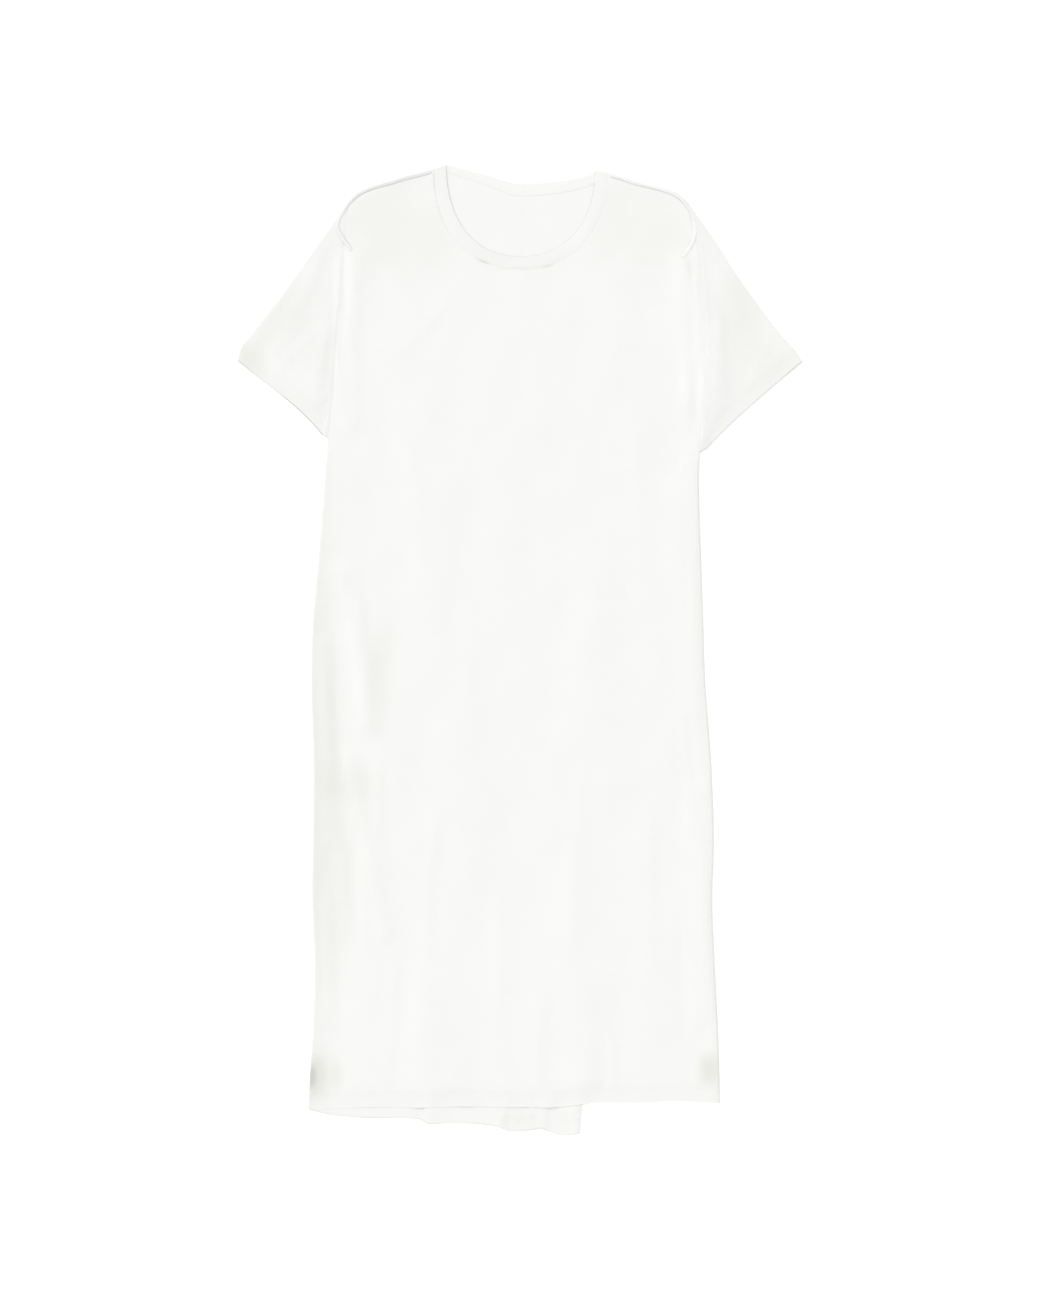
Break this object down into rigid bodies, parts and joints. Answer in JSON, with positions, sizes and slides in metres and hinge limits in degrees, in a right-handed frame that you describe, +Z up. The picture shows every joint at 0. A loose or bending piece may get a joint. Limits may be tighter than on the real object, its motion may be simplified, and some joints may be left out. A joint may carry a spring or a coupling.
{
  "type": "t-shirt dress",
  "caption": "White fine-jersey T-shirt dress with short sleeves and a round ribbed neckband, laid flat and face up.",
  "frame": {"origin": "on the surface the dress lies on, under the middle of its outline", "axes": "+X across the dress, to the right as seen from above with the neck at the top; +Y from the hem to the neck; +Z up, away from the surface"},
  "size_m": [0.717, 1.233, 0.0084],
  "materials": {
    "white_jersey": "matt, fine and rather sheer knit",
    "white_rib": "matt fine rib",
    "clear_tape": "glossy clear elastic"
  },
  "bodies": {
    "root": {"front": "white_jersey", "back_left": "white_jersey", "back_right": "white_jersey", "sleeve_left": "white_jersey", "sleeve_right": "white_jersey", "neckband": "white_rib", "shoulder_tape_left": "clear_tape", "shoulder_tape_right": "clear_tape"}
  },
  "joints": []
}
